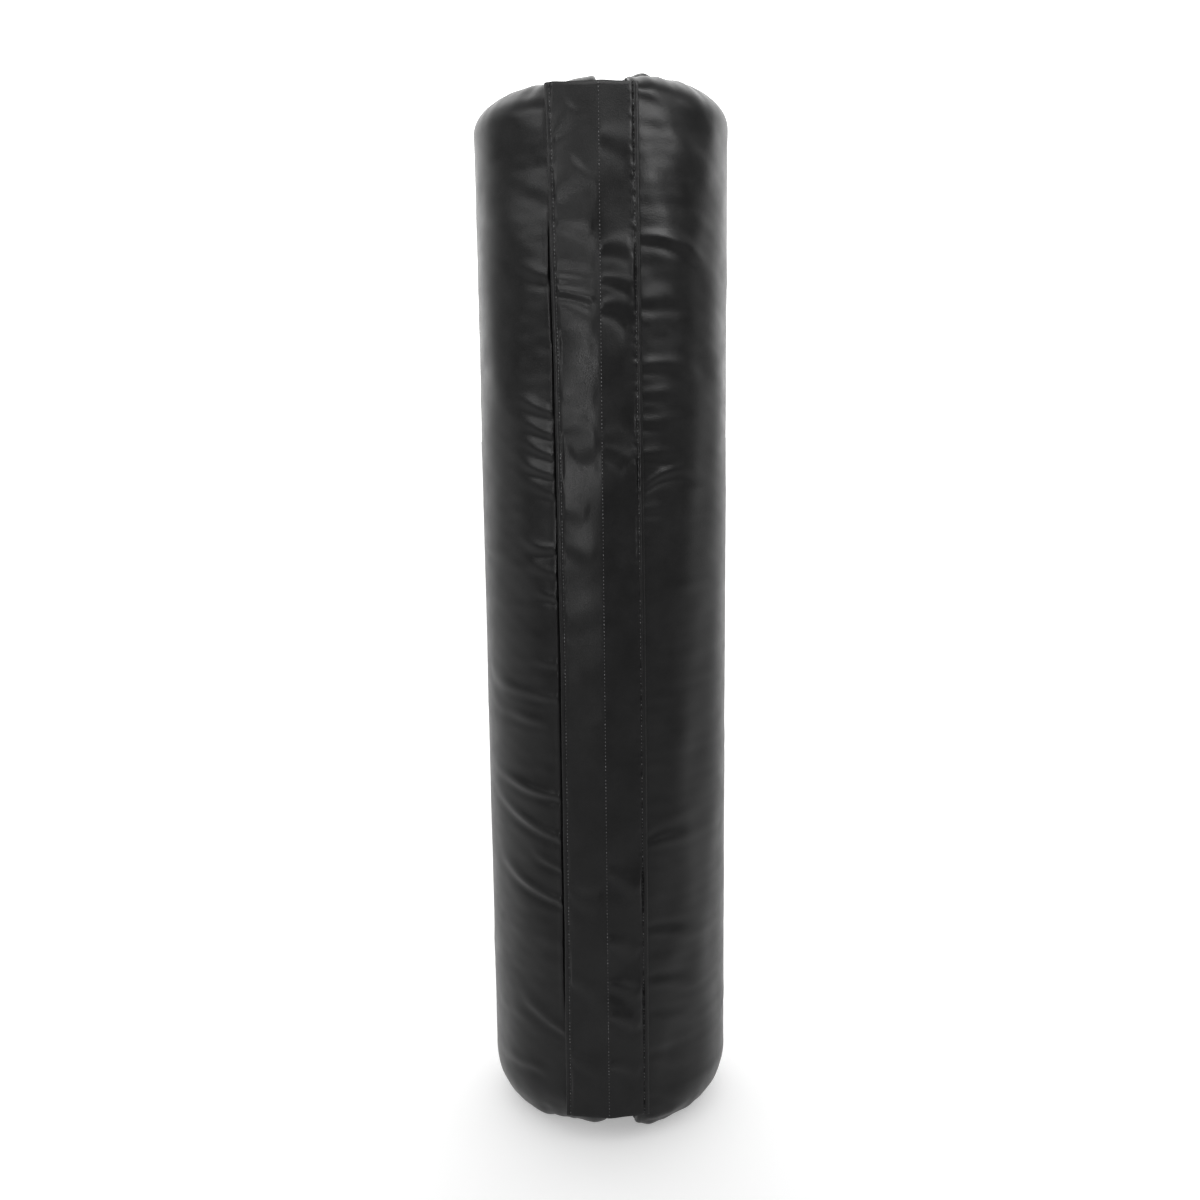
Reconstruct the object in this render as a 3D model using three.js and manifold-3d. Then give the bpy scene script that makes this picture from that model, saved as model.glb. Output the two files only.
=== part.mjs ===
// A tall round strike pad that wraps round a post or the column of a stand. Two foam half rounds in black
// coated-vinyl covers share one rear hinge line. The front slit is bridged by a full-height closing flap:
// the flap is sewn to the right half and its tab hooks onto a loop tape on the left half.
//
// Frame, in millimetres: the origin is on the bore axis at floor level, +Z is up, the slit faces -Y,
// and "right" is +X, as seen by someone who faces the slit.
import * as THREE from "three";
import { mergeVertices } from "three/addons/utils/BufferGeometryUtils.js";
import Module from "manifold-3d";

const wasm = await Module();
wasm.setup();

// ---- Driving dimensions ----
const OUTER_RADIUS = 150;
const HEIGHT = 1250;
const BORE_RADIUS = 57.5; // passes a 110 mm column with a little room
const SLIT_WIDTH = 36; // between the two slit facings
const VINYL = 1.2; // coated fabric with its seam allowance
const GAP = 0.3; // between neighbouring pieces
const FOAM_SPLIT_RADIUS = 94; // firm inner foam inside, soft outer foam outside

// Each end of the wall rolls over an elliptical shoulder: how far in it goes, and how far down.
const TOP_SHOULDER = { inward: 50, along: 42 };
const BOTTOM_SHOULDER = { inward: 42, along: 58 };

const TAPE_WIDTH = 50; // standard hook-and-loop tape
const TAPE_THICKNESS = 1.0;
const FLAP_SHEET = 0.8; // the flap is a face sheet and a backing sheet
const FLAP_BOTTOM = 32;
const FLAP_TOP = HEIGHT - 14;
const FLAP_HEM = 2.5; // from the hook tape to the flap's free edge
const SEAM_BAND_WIDTH = 7; // the sewn-down edge of the flap

const AROUND = 48; // facets in a full turn
const SHOULDER_STEPS = 6;

// ---- Angles round the front, measured from -Y towards +X ----
const halfSlit = SLIT_WIDTH / 2;
const slitAngle = Math.asin(halfSlit / OUTER_RADIUS);
const tapeRadius = OUTER_RADIUS + GAP;
const arcAngle = (length) => length / tapeRadius;
const creaseAngle = -slitAngle; // the tab bends where the left half begins
const tapeEnd = creaseAngle - arcAngle(TAPE_WIDTH);
const freeEdge = tapeEnd - arcAngle(FLAP_HEM);
const seamAngle = slitAngle + arcAngle(2); // the stitch line that the flap swings on
const bandEnd = seamAngle + arcAngle(SEAM_BAND_WIDTH);
const hairline = arcAngle(GAP / 2);

// ---- Radii of the layers that lie on the outer wall ----
const hookRadius = tapeRadius + TAPE_THICKNESS + GAP;
const tabRadius = hookRadius + TAPE_THICKNESS + GAP;
const bandRadius = OUTER_RADIUS + GAP;

// ---- Materials ----
const vinyl = (color) => new THREE.MeshStandardMaterial({ color, roughness: 0.42, metalness: 0 });
const materials = {
  cover: vinyl(0x1a1a1b),
  flap: vinyl(0x19191a),
  lining: new THREE.MeshStandardMaterial({ color: 0x151516, roughness: 0.6, metalness: 0 }),
  firmFoam: new THREE.MeshStandardMaterial({ color: 0x3a3b3d, roughness: 0.9, metalness: 0 }),
  softFoam: new THREE.MeshStandardMaterial({ color: 0xd8d2bd, roughness: 0.95, metalness: 0 }),
  tape: new THREE.MeshStandardMaterial({ color: 0x0e0e0f, roughness: 0.98, metalness: 0 }),
};

// ---- Solids ----
function toSolid(geometry) {
  const bare = geometry.clone();
  bare.deleteAttribute("normal");
  bare.deleteAttribute("uv");
  const merged = mergeVertices(bare, 1e-3);
  const mesh = new wasm.Mesh({
    numProp: 3,
    vertProperties: merged.attributes.position.array,
    triVerts: new Uint32Array(merged.index.array),
  });
  return new wasm.Manifold(mesh);
}

function toGeometry(solid) {
  const mesh = solid.getMesh();
  const geometry = new THREE.BufferGeometry();
  geometry.setAttribute("position", new THREE.BufferAttribute(mesh.vertProperties, 3));
  geometry.setIndex(new THREE.BufferAttribute(mesh.triVerts, 1));
  geometry.computeVertexNormals();
  return geometry;
}

// Revolves a closed (radius, height) profile about Z. The profile runs anticlockwise.
function revolve(profile) {
  const points = [...profile, profile[0]].map(([r, z]) => new THREE.Vector2(r, z));
  const geometry = new THREE.LatheGeometry(points, AROUND);
  geometry.rotateX(Math.PI / 2);
  return toSolid(geometry);
}

function prism(corners, bottom, top) {
  const shape = new THREE.Shape(corners.map(([x, y]) => new THREE.Vector2(x, y)));
  const geometry = new THREE.ExtrudeGeometry(shape, { depth: top - bottom, bevelEnabled: false });
  return geometry.translate(0, 0, bottom);
}

// The plan of the right half: its front face stands at x = front, its rear face just off the hinge plane.
function rightPlan(front) {
  const far = OUTER_RADIUS * 2;
  const rear = GAP / 2;
  const corners = [[front, -far], [far, -far], [far, far], [rear, far], [rear, 0], [front, 0]];
  return toSolid(prism(corners, -far, HEIGHT + far));
}

// ---- Profiles, in (radius, height) ----
// The points of one shoulder, moved inwards by inset, from the wall to the end seam.
function shoulder({ inward, along }, inset, atTop) {
  const points = [];
  for (let i = 0; i <= SHOULDER_STEPS; i++) {
    const turn = (i / SHOULDER_STEPS) * (Math.PI / 2);
    const r = OUTER_RADIUS - inward + (inward - inset) * Math.cos(turn);
    const rise = (along - inset) * Math.sin(turn);
    points.push([r, atTop ? HEIGHT - along + rise : along - rise]);
  }
  return points;
}

function wallOutline(inset) {
  const bottom = shoulder(BOTTOM_SHOULDER, inset, false).reverse();
  return [...bottom, ...shoulder(TOP_SHOULDER, inset, true)];
}

function ringProfile(innerRadius, outerRadius, bottom, top) {
  return [[innerRadius, bottom], [outerRadius, bottom], [outerRadius, top], [innerRadius, top]];
}

const liningOuter = BORE_RADIUS + VINYL;
const fillInset = VINYL + GAP; // foam and facings start this far inside the cover
const fillBore = liningOuter + GAP;

// Everything inside the cover from a given radius outwards.
function fillProfile(innerRadius) {
  return [[innerRadius, fillInset], ...wallOutline(fillInset), [innerRadius, HEIGHT - fillInset]];
}

// ---- The padded half round ----
function outerCover() {
  const profile = [...wallOutline(0), ...wallOutline(VINYL).reverse()];
  return revolve(profile).intersect(rightPlan(halfSlit));
}

function boreLining() {
  return revolve(ringProfile(BORE_RADIUS, liningOuter, 0, HEIGHT)).intersect(rightPlan(halfSlit));
}

function endCap(seamRadius, bottom) {
  const profile = ringProfile(fillBore, seamRadius - GAP, bottom, bottom + VINYL);
  return revolve(profile).intersect(rightPlan(halfSlit));
}

function slitFacing() {
  const far = OUTER_RADIUS * 2;
  const [near, back] = [halfSlit, halfSlit + VINYL];
  const slab = toSolid(prism([[near, -far], [back, -far], [back, 0], [near, 0]], -far, HEIGHT + far));
  return revolve(fillProfile(fillBore)).intersect(slab);
}

function foam(profile) {
  return revolve(profile).intersect(rightPlan(halfSlit + fillInset));
}

function innerFoam() {
  const outer = FOAM_SPLIT_RADIUS - GAP / 2;
  return foam(ringProfile(fillBore, outer, fillInset, HEIGHT - fillInset));
}

function outerFoam() {
  return foam(fillProfile(FOAM_SPLIT_RADIUS + GAP / 2));
}

const halfParts = [
  ["outer_cover", outerCover(), materials.cover],
  ["bore_lining", boreLining(), materials.lining],
  ["slit_facing", slitFacing(), materials.lining],
  ["top_cap", endCap(OUTER_RADIUS - TOP_SHOULDER.inward, HEIGHT - VINYL), materials.cover],
  ["bottom_cap", endCap(OUTER_RADIUS - BOTTOM_SHOULDER.inward, 0), materials.cover],
  ["inner_foam", innerFoam(), materials.firmFoam],
  ["outer_foam", outerFoam(), materials.softFoam],
];

// The left half mirrors the right one.
function paddedHalf(side) {
  const group = new THREE.Group();
  for (const [part, solid, material] of halfParts) {
    const mesh = new THREE.Mesh(toGeometry(solid), material);
    mesh.name = `${side}_${part}`;
    group.add(mesh);
  }
  group.scale.x = side === "left" ? -1 : 1;
  return group;
}

// ---- The closing flap and its tapes ----
// A strip that stands along the front wall between two angles. radiusAt gives its inner face.
function wallStrip(name, from, to, radiusAt, thickness, bottom, top, material) {
  const steps = Math.max(1, Math.round(Math.abs(to - from) / (Math.PI / AROUND)));
  const inner = [];
  const outer = [];
  for (let i = 0; i <= steps; i++) {
    const angle = from + ((to - from) * i) / steps;
    const [s, c] = [Math.sin(angle), -Math.cos(angle)];
    const r = radiusAt(angle);
    inner.push([r * s, r * c]);
    outer.push([(r + thickness) * s, (r + thickness) * c]);
  }
  const mesh = new THREE.Mesh(prism([...outer, ...inner.reverse()], bottom, top), material);
  mesh.name = name;
  return mesh;
}

// The bridge climbs from the sewn-down band to the height of the tab.
function bridgeRadius(angle) {
  const share = (seamAngle - angle) / (seamAngle - creaseAngle);
  return bandRadius + (tabRadius - bandRadius) * share;
}

function flapSheets(name, from, to, radiusAt) {
  const faceRadius = (angle) => radiusAt(angle) + FLAP_SHEET + GAP;
  const sheet = (part, radius) =>
    wallStrip(`${name}_${part}`, from, to, radius, FLAP_SHEET, FLAP_BOTTOM, FLAP_TOP, materials.flap);
  return [sheet("backing", radiusAt), sheet("face", faceRadius)];
}

// The hook tape is as long as the flap. The loop tape keeps to the straight part of the wall.
function tapeStrip(name, radius, bottom, top) {
  const from = tapeEnd;
  const to = creaseAngle - hairline * 2;
  return wallStrip(name, from, to, () => radius, TAPE_THICKNESS, bottom, top, materials.tape);
}

function closingFlap() {
  const group = new THREE.Group();
  const bandThickness = 2 * FLAP_SHEET + GAP;
  group.add(
    wallStrip("flap_seam_band", seamAngle + hairline, bandEnd, () => bandRadius, bandThickness,
      FLAP_BOTTOM, FLAP_TOP, materials.flap),
    ...flapSheets("flap_bridge", creaseAngle + hairline, seamAngle - hairline, bridgeRadius),
    ...flapSheets("flap_tab", freeEdge, creaseAngle - hairline, () => tabRadius),
    tapeStrip("hook_tape", hookRadius, FLAP_BOTTOM + FLAP_HEM, FLAP_TOP - FLAP_HEM),
    tapeStrip("loop_tape", tapeRadius, BOTTOM_SHOULDER.along, HEIGHT - TOP_SHOULDER.along),
  );
  return group;
}

const pad = new THREE.Group();
pad.add(paddedHalf("right"), paddedHalf("left"), closingFlap());

export default pad;
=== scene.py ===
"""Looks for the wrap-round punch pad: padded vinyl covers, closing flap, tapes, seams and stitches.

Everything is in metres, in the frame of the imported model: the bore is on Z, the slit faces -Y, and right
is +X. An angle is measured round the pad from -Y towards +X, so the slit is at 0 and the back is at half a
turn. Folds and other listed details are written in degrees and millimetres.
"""

import math

import bmesh
import bpy
import numpy as np
from mathutils import Matrix, Vector


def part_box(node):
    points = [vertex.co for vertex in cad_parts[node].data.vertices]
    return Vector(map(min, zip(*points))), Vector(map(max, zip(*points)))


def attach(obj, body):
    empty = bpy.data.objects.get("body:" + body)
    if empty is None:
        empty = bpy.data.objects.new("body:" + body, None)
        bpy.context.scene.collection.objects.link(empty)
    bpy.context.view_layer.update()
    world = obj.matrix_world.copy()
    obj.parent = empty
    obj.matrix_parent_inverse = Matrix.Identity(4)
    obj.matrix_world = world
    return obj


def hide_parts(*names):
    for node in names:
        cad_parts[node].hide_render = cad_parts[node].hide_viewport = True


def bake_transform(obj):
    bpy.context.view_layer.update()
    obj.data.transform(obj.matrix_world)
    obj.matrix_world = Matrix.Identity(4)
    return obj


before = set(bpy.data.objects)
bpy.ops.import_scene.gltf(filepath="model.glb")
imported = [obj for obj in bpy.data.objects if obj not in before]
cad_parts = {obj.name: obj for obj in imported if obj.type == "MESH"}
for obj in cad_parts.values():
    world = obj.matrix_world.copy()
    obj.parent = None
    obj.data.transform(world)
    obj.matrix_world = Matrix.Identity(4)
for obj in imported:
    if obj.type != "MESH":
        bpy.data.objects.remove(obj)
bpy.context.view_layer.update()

MM = 0.001

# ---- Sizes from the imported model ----
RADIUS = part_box("right_outer_cover")[1].x
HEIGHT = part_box("right_outer_cover")[1].z
HALF_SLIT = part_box("right_slit_facing")[0].x
LINING_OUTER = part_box("right_bore_lining")[1].x
FOAM_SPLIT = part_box("right_inner_foam")[1].x
TOP_SEAM_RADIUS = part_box("right_top_cap")[1].x
BOTTOM_SEAM_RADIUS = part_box("right_bottom_cap")[1].x
FLAP_LOW, FLAP_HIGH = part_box("flap_tab_face")[0].z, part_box("flap_tab_face")[1].z
HOOK_LOW, HOOK_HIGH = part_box("hook_tape")[0].z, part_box("hook_tape")[1].z
LOOP_LOW, LOOP_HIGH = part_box("loop_tape")[0].z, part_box("loop_tape")[1].z
CREASE_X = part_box("flap_bridge_face")[0].x  # where the tab meets the bridge

# ---- Sizes of the sewing ----
VINYL = 1.2 * MM
BORE = LINING_OUTER - VINYL
CORNER = 4 * MM  # the rolled edge of the cover at the slit
TUCK = 10 * MM  # how far the cover runs into the slit
TOP_SHOULDER = 42 * MM  # how far down the wall the rolled top starts
BOTTOM_SHOULDER = 58 * MM
SEAM_DEPTH = 2.6 * MM  # how deep the cover rolls under at a cap seam
CORNER_RISE = 1.2 * MM  # the cover's top stands up a little at both corners of the slit
FLAP_THICKNESS = 1.9 * MM
FLAP_FACE = 4.6 * MM  # how far the tab's outer face stands off the cover
TAPE = 0.7 * MM
HEM = 5.5 * MM  # from the flap's free edge to its stitch row
HEM_BULGE = 0.45 * MM
TAB_SAG = 0.7 * MM
BRIDGE_SAG = 1.5 * MM
BRIDGE_DROP = 2.2 * MM  # from the tab's level down to the right stitch row
STRIP_BULGE = 1.2 * MM  # the folded strip to the right of that row
STITCH_PITCH = 4.2 * MM
FLOOR_CLEARANCE = 0.2 * MM
FOAM_INSET = 6 * MM  # the foam keeps clear of the deepest folds of the cover
FOAM_END = 18 * MM  # the foam stops short of both ends, which the covers and caps pull in unevenly

SEED = 11


# ---- Small maths ----
def smooth(x, low, high):
    t = np.clip((np.asarray(x, float) - low) / (high - low), 0, 1)
    return t * t * (3 - 2 * t)


def bell(x, width):
    return np.exp(-((np.asarray(x, float) / width) ** 2))


def arch(share):
    """0 at both ends of a span and 1 in its middle."""
    return np.sin(math.pi * share)


def wander(x, seed, wavelengths, strengths):
    """A smooth random line: a sum of sines with seeded phases."""
    rng = np.random.default_rng(seed)
    total = np.zeros_like(np.asarray(x, float))
    for wavelength, strength in zip(wavelengths, strengths):
        total += strength * np.sin(x * math.tau / wavelength + rng.uniform(0, math.tau))
    return total


def blotches(x, y, seed, size, count=14):
    """A smooth random field of about unit height, with lumps of about the given size."""
    rng = np.random.default_rng(seed)
    total = np.zeros_like(x)
    for _ in range(count):
        turn = rng.uniform(0, math.tau)
        wave = math.tau / (size * rng.uniform(0.7, 1.8))
        total += np.sin((x * math.cos(turn) + y * math.sin(turn)) * wave + rng.uniform(0, math.tau))
    return total / math.sqrt(count / 2)


def signed_angle(x, y):
    return np.arctan2(x, -y)


def polar(radius, angle, z):
    """Points at a radius and an angle from the slit."""
    x = radius * np.sin(angle)
    y = -radius * np.cos(angle)
    return np.stack(np.broadcast_arrays(x, y, z), -1)


# ---- Meshes ----
def mesh_object(name, points, quads, sharp_degrees=50):
    points = np.asarray(points, np.float32).reshape(-1, 3)
    quads = np.asarray(quads, np.int32).reshape(-1, 4)
    mesh = bpy.data.meshes.new(name)
    mesh.vertices.add(len(points))
    mesh.vertices.foreach_set("co", points.ravel())
    mesh.loops.add(quads.size)
    mesh.loops.foreach_set("vertex_index", quads.ravel())
    mesh.polygons.add(len(quads))
    mesh.polygons.foreach_set("loop_start", np.arange(0, quads.size, 4, dtype=np.int32))
    mesh.update(calc_edges=True)
    mesh.shade_smooth()
    mesh.set_sharp_from_angle(angle=math.radians(sharp_degrees))
    piece = bpy.data.objects.new(name, mesh)
    bpy.context.scene.collection.objects.link(piece)
    return piece


def volume(points, quads):
    a, b, c, d = (points[quads[:, i]] for i in range(4))
    return float(((a * np.cross(b, c)).sum(1) + (a * np.cross(c, d)).sum(1)).sum() / 6)


def grid_quads(rows, columns):
    index = np.arange(rows * columns).reshape(rows, columns)
    corners = (index[:-1, :-1], index[:-1, 1:], index[1:, 1:], index[1:, :-1])
    return index, np.stack(corners, -1).reshape(-1, 4)


def shell(name, outer, inner):
    """A closed solid between two grids of points, (rows, columns, 3), with walls round the rim."""
    rows, columns = outer.shape[:2]
    points = np.concatenate([outer.reshape(-1, 3), inner.reshape(-1, 3)])
    index, face = grid_quads(rows, columns)
    under = rows * columns
    walls = []
    for rim in (index[0], index[:, -1], index[-1][::-1], index[:, 0][::-1]):
        p, q = rim[:-1], rim[1:]
        walls.append(np.stack([q, p, p + under, q + under], -1))
    quads = np.concatenate([face, face[:, ::-1] + under, *walls])
    if volume(points, quads) < 0:
        quads = quads[:, ::-1]
    return mesh_object(name, points, quads)


def normals(grid):
    """Unit normals of a grid whose rows run down and whose columns run towards larger angles."""
    across = np.gradient(grid, axis=1)
    along = np.gradient(grid, axis=0)
    normal = np.cross(along, across)
    return normal / np.maximum(np.linalg.norm(normal, axis=2, keepdims=True), 1e-12)


# ---- The plan of the pad: a C with rolled corners at the slit ----
TUCK_COLUMNS, CORNER_COLUMNS = 3, 6


def packed_shares(count, packing=0.45):
    """Shares from 0 to 1 that lie closer together towards both ends, which are at the front."""
    t = np.linspace(0, 1, count)
    return t - packing * np.sin(math.tau * t) / math.tau


def c_plan(radius):
    """Points round the C at each radius of a (rows, columns) array, from the right edge to the left."""
    columns = radius.shape[1]
    shares = packed_shares(columns - 2 * (TUCK_COLUMNS + CORNER_COLUMNS))
    centre_x = HALF_SLIT + CORNER
    centre_y = -np.sqrt((radius - CORNER) ** 2 - centre_x**2)
    start = np.arctan2(centre_x, -centre_y)
    x, y = np.empty_like(radius), np.empty_like(radius)
    for j in range(columns):
        k = min(j, columns - 1 - j)
        side = 1 if k == j else -1
        middle, first = centre_y[:, j], start[:, j]
        if k < TUCK_COLUMNS:
            px = np.full_like(middle, HALF_SLIT)
            py = middle + TUCK * (1 - k / TUCK_COLUMNS)
        elif k < TUCK_COLUMNS + CORNER_COLUMNS:
            t = (k - TUCK_COLUMNS) / CORNER_COLUMNS
            turn = -math.pi / 2 + (first + math.pi / 2) * t
            px = centre_x + CORNER * np.sin(turn)
            py = middle - CORNER * np.cos(turn)
        else:
            angle = first + (math.tau - 2 * first) * shares[j - TUCK_COLUMNS - CORNER_COLUMNS]
            px, py, side = radius[:, j] * np.sin(angle), -radius[:, j] * np.cos(angle), 1
        x[:, j], y[:, j] = side * px, py
    return x, y


# ---- Folds ----
# A fold is (angle and height where it starts, angle and height where it ends, how far its middle is pushed
# up, its half width, its height). It starts at the seam or edge that pulls it, and a negative height makes
# it a groove.
RIGHT_FOLDS = [
    (12, 1238, 62, 1188, 14, 16, 2.6),
    (10, 1076, 50, 1036, 12, 8, 3.4),
    (10, 1128, 34, 1140, 4, 14, 1.1),
    (10, 1008, 34, 1014, 2, 10, 1.3),
    (10, 936, 46, 915, 10, 8, 2.4),
    (10, 905, 32, 905, 2, 7, 1.5),
    (10, 873, 34, 870, 2, 7, 1.5),
    (10, 838, 34, 833, 2, 7, 1.9),
    (11, 800, 48, 806, 17, 6, 2.2),
    (10, 775, 30, 777, 1, 6, 1.3),
    (10, 742, 28, 738, 1, 6, 0.9),
    (14, 556, 44, 540, 0, 12, 0.9),
    (12, 386, 58, 372, 14, 10, -3.6),
    (12, 276, 52, 256, 3, 8, -3.2),
    (12, 213, 54, 188, 4, 9, -3.2),
    (12, 168, 46, 148, 3, 8, -1.8),
    (12, 112, 46, 94, 3, 9, -2.0),
    (12, 62, 44, 40, -3, 8, 1.6),
    (11, 26, 44, 40, -7, 7, 2.6),
]
LEFT_FOLDS = [
    (-25, 1033, -52, 1054, -2, 8, 2.2),
    (-25, 1122, -50, 1150, -3, 12, 1.2),
    (-25, 967, -40, 974, 0, 9, 0.8),
    (-25, 882, -48, 907, -2, 6, 3.2),
    (-25, 858, -45, 879, -2, 5, 2.6),
    (-25, 834, -45, 856, -2, 5, 2.8),
    (-25, 813, -48, 834, -2, 5, 2.9),
    (-25, 791, -44, 808, -1, 6, 2.0),
    (-24, 733, -49, 744, -6, 6, 2.6),
    (-24, 700, -46, 716, -2, 6, 1.4),
    (-24, 672, -42, 684, -1, 5, 2.2),
    (-24, 594, -46, 601, -1, 5, 1.2),
    (-26, 555, -80, 572, -3, 6, 1.7),
    (-34, 524, -82, 545, -2, 7, 1.5),
    (-25, 435, -84, 466, -5, 6, 2.6),
    (-25, 383, -84, 444, -5, 7, 2.6),
    (-25, 345, -46, 370, -2, 5, 1.7),
    (-24, 303, -76, 362, -7, 7, 3.2),
    (-24, 252, -44, 262, -1, 9, 1.1),
    (-24, 136, -60, 194, -4, 8, 2.4),
    (-40, 84, -92, 68, 4, 9, 1.8),
]
TAB_FOLDS = [
    (-28, 1178, -16, 1214, 0, 9, 0.7),
    (-27, 1118, -12, 1150, 6, 15, 0.9),
    (-28, 1092, -7, 1082, 2, 9, 0.5),
    (-28, 1052, -7, 1040, 3, 9, 0.6),
    (-27, 1030, -7, 1022, 2, 5, 0.8),
    (-28, 1018, -7, 1008, 3, 6, 1.7),
    (-26, 975, -7, 981, 2, 12, 0.4),
    (-26, 946, -9, 958, 1, 9, 0.3),
    (-26, 908, -7, 900, 2, 12, 0.4),
    (-26, 866, -12, 877, 1, 8, 0.35),
    (-19, 838, -6, 856, 0, 14, 0.7),
    (-26, 778, -12, 770, 2, 9, 0.5),
    (-25, 738, -9, 722, 2, 9, 0.6),
    (-26, 640, -8, 668, 3, 13, 0.8),
    (-25, 470, -8, 486, 2, 14, 0.5),
    (-25, 322, -8, 306, 2, 12, 0.7),
    (-26, 214, -9, 190, 3, 10, 0.8),
    (-26, 112, -8, 90, 3, 9, 0.7),
]
BRIDGE_FOLDS = [
    (-7, 1180, 8, 1172, 2, 10, 0.8),
    (-7, 1062, 7, 1062, 5, 8, 1.4),
    (-7, 1030, 7, 1022, 3, 5, 1.1),
    (-7, 1000, 8, 988, 8, 9, 1.9),
    (-7, 860, 8, 850, 3, 10, 0.8),
    (-7, 846, 6, 830, 2, 7, 1.4),
    (-7, 700, 8, 716, 2, 14, 0.6),
    (-7, 560, 8, 548, 2, 14, 0.5),
    (-7, 348, 9, 322, 3, 9, 1.2),
    (-7, 262, 9, 240, 3, 9, 1.5),
    (-7, 206, 9, 188, 3, 8, 1.5),
    (-7, 168, 9, 148, 3, 7, 1.4),
    (-7, 104, 9, 88, 3, 8, 1.2),
]
RIGHT_STRENGTH, LEFT_STRENGTH = 0.55, 0.8
TAB_STRENGTH, BRIDGE_STRENGTH = 1.4, 0.9
FLAP_RUN_OUT = 0.8  # a fold of the flap crosses nearly its whole panel


def fold_height(s, z, fold, run_out):
    """How far one fold lifts the surface. s is the way round the wall, and s and z are in metres.

    The fold is at full height up to the share run_out of its length, and then fades.
    """
    angle_start, z_start, angle_end, z_end, rise, width, height = fold
    a = np.array([math.radians(angle_start) * RADIUS, z_start * MM])
    b = np.array([math.radians(angle_end) * RADIUS, z_end * MM])
    length = np.linalg.norm(b - a)
    ahead = (b - a) / length
    up = np.array([-ahead[1], ahead[0]]) * (1 if ahead[0] > 0 else -1)
    t = ((s - a[0]) * ahead[0] + (z - a[1]) * ahead[1]) / length
    t_in = np.clip(t, 0, 1)
    away = (s - a[0]) * up[0] + (z - a[1]) * up[1] - rise * MM * 4 * t_in * (1 - t_in)
    wide = width * MM * (0.75 + 0.7 * t_in)
    ridge = bell(away, wide)
    valley = bell(away + 1.5 * wide, 0.9 * wide)
    fade = smooth(t, -0.08, 0.12) * (1 - smooth(t, run_out, 1.0))
    return height * MM * fade * (ridge - 0.75 * valley)


def all_folds(s, z, folds, run_out=0.35):
    total = np.zeros_like(s)
    for fold in folds:
        reach = (abs(fold[4]) + 5 * fold[5]) * MM
        low, high = min(fold[1], fold[3]) * MM - reach, max(fold[1], fold[3]) * MM + reach
        near = (z > low) & (z < high)
        total[near] += fold_height(s[near], z[near], fold, run_out)
    return total


def random_folds(seed, count):
    """Soft folds for the sides and the back, which nothing pulls hard."""
    rng = np.random.default_rng(seed)
    folds = []
    for _ in range(count):
        angle, z = rng.uniform(62, 285), rng.uniform(70, 1180)
        span, drop = rng.uniform(14, 44), rng.uniform(-26, 26)
        ends = (angle, z, angle + span, z + drop)
        folds.append((*ends, rng.uniform(-7, 7), rng.uniform(6, 13), rng.uniform(0.6, 1.9)))
    return folds


# ---- The closing flap's outline ----
MID_ROW = math.asin(CREASE_X / (RADIUS + FLAP_FACE))  # the stitch row where the tab starts


def flap_lines(z):
    """The angles of the free edge, the right stitch row and the folded right edge at a height."""
    up = z / HEIGHT
    free_edge = np.radians(-26.6 - 2.4 * up**4 + 0.8 * np.sin(math.pi * up))
    right_row = np.radians(10.0 - 2.4 * up**2)
    return free_edge, right_row, right_row + math.radians(2.2)


def under_flap(angle, z):
    """1 under the closing flap and 0 outside it, with a soft edge."""
    free_edge, _, fold_edge = flap_lines(z)
    soft = math.radians(2)
    past_edge = smooth(angle, free_edge - soft, free_edge + soft)
    past_fold = smooth(angle, fold_edge - soft, fold_edge)
    return past_edge * (1 - past_fold)


def flap_shape(from_edge, from_mid, from_row, to_fold):
    """The flap across its width without its folds: two panels between a rolled hem and a folded strip."""
    across_hem = np.clip(from_edge / HEM, 0, 1)
    across_tab = np.clip((from_edge - HEM) / (from_edge - HEM - from_mid), 0, 1)
    across_bridge = np.clip(from_mid / (from_mid - from_row), 0, 1)
    across_strip = np.clip(from_row / (from_row + to_fold), 0, 1)
    bulges = HEM_BULGE * arch(across_hem) + STRIP_BULGE * arch(across_strip) ** 0.6
    sags = TAB_SAG * arch(across_tab) + BRIDGE_SAG * arch(across_bridge)
    return FLAP_FACE - BRIDGE_DROP * across_bridge - sags + bulges


def flap_folds(s, z, from_mid):
    """The creases of the tab and the bridge: deepest high up, and again close to the floor."""
    low = 1 - smooth(z, 0.3, 0.45)
    loose = 0.4 + 0.6 * smooth(z, 0.6, 0.85) + low
    on_tab = smooth(-from_mid, 0, 9 * MM)
    on_bridge = smooth(from_mid, 0, 4 * MM)
    folds = TAB_STRENGTH * loose * all_folds(s, z, TAB_FOLDS, FLAP_RUN_OUT) * on_tab
    folds += (BRIDGE_STRENGTH + 0.7 * low) * all_folds(s, z, BRIDGE_FOLDS, FLAP_RUN_OUT) * on_bridge
    return folds + 0.8 * MM * loose * blotches(s, z * 0.8, SEED + 5, 0.06)


def flap_stitching(z, from_edge, from_mid, from_row):
    """The grooves that the three stitch rows pull into the flap, and the small puckers along them."""
    pull = 1 + 0.5 * wander(z, SEED + 8, (0.013, 0.021, 0.008), (0.5, 0.4, 0.4))
    rows = ((from_edge - HEM, 0.6), (from_mid, 0.1), (from_row, 1.0))
    grooves = sum(depth * MM * bell(offset, 1.3 * MM) for offset, depth in rows) * pull
    needle = wander(z + 0.4 * from_row, SEED + 9, (0.0125, 0.0087, 0.019), (0.22, 0.16, 0.2)) * MM
    puckers = needle * (bell(from_row + 2 * MM, 3 * MM) + 0.5 * bell(from_edge - HEM, 3 * MM))
    return puckers - grooves


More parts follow.
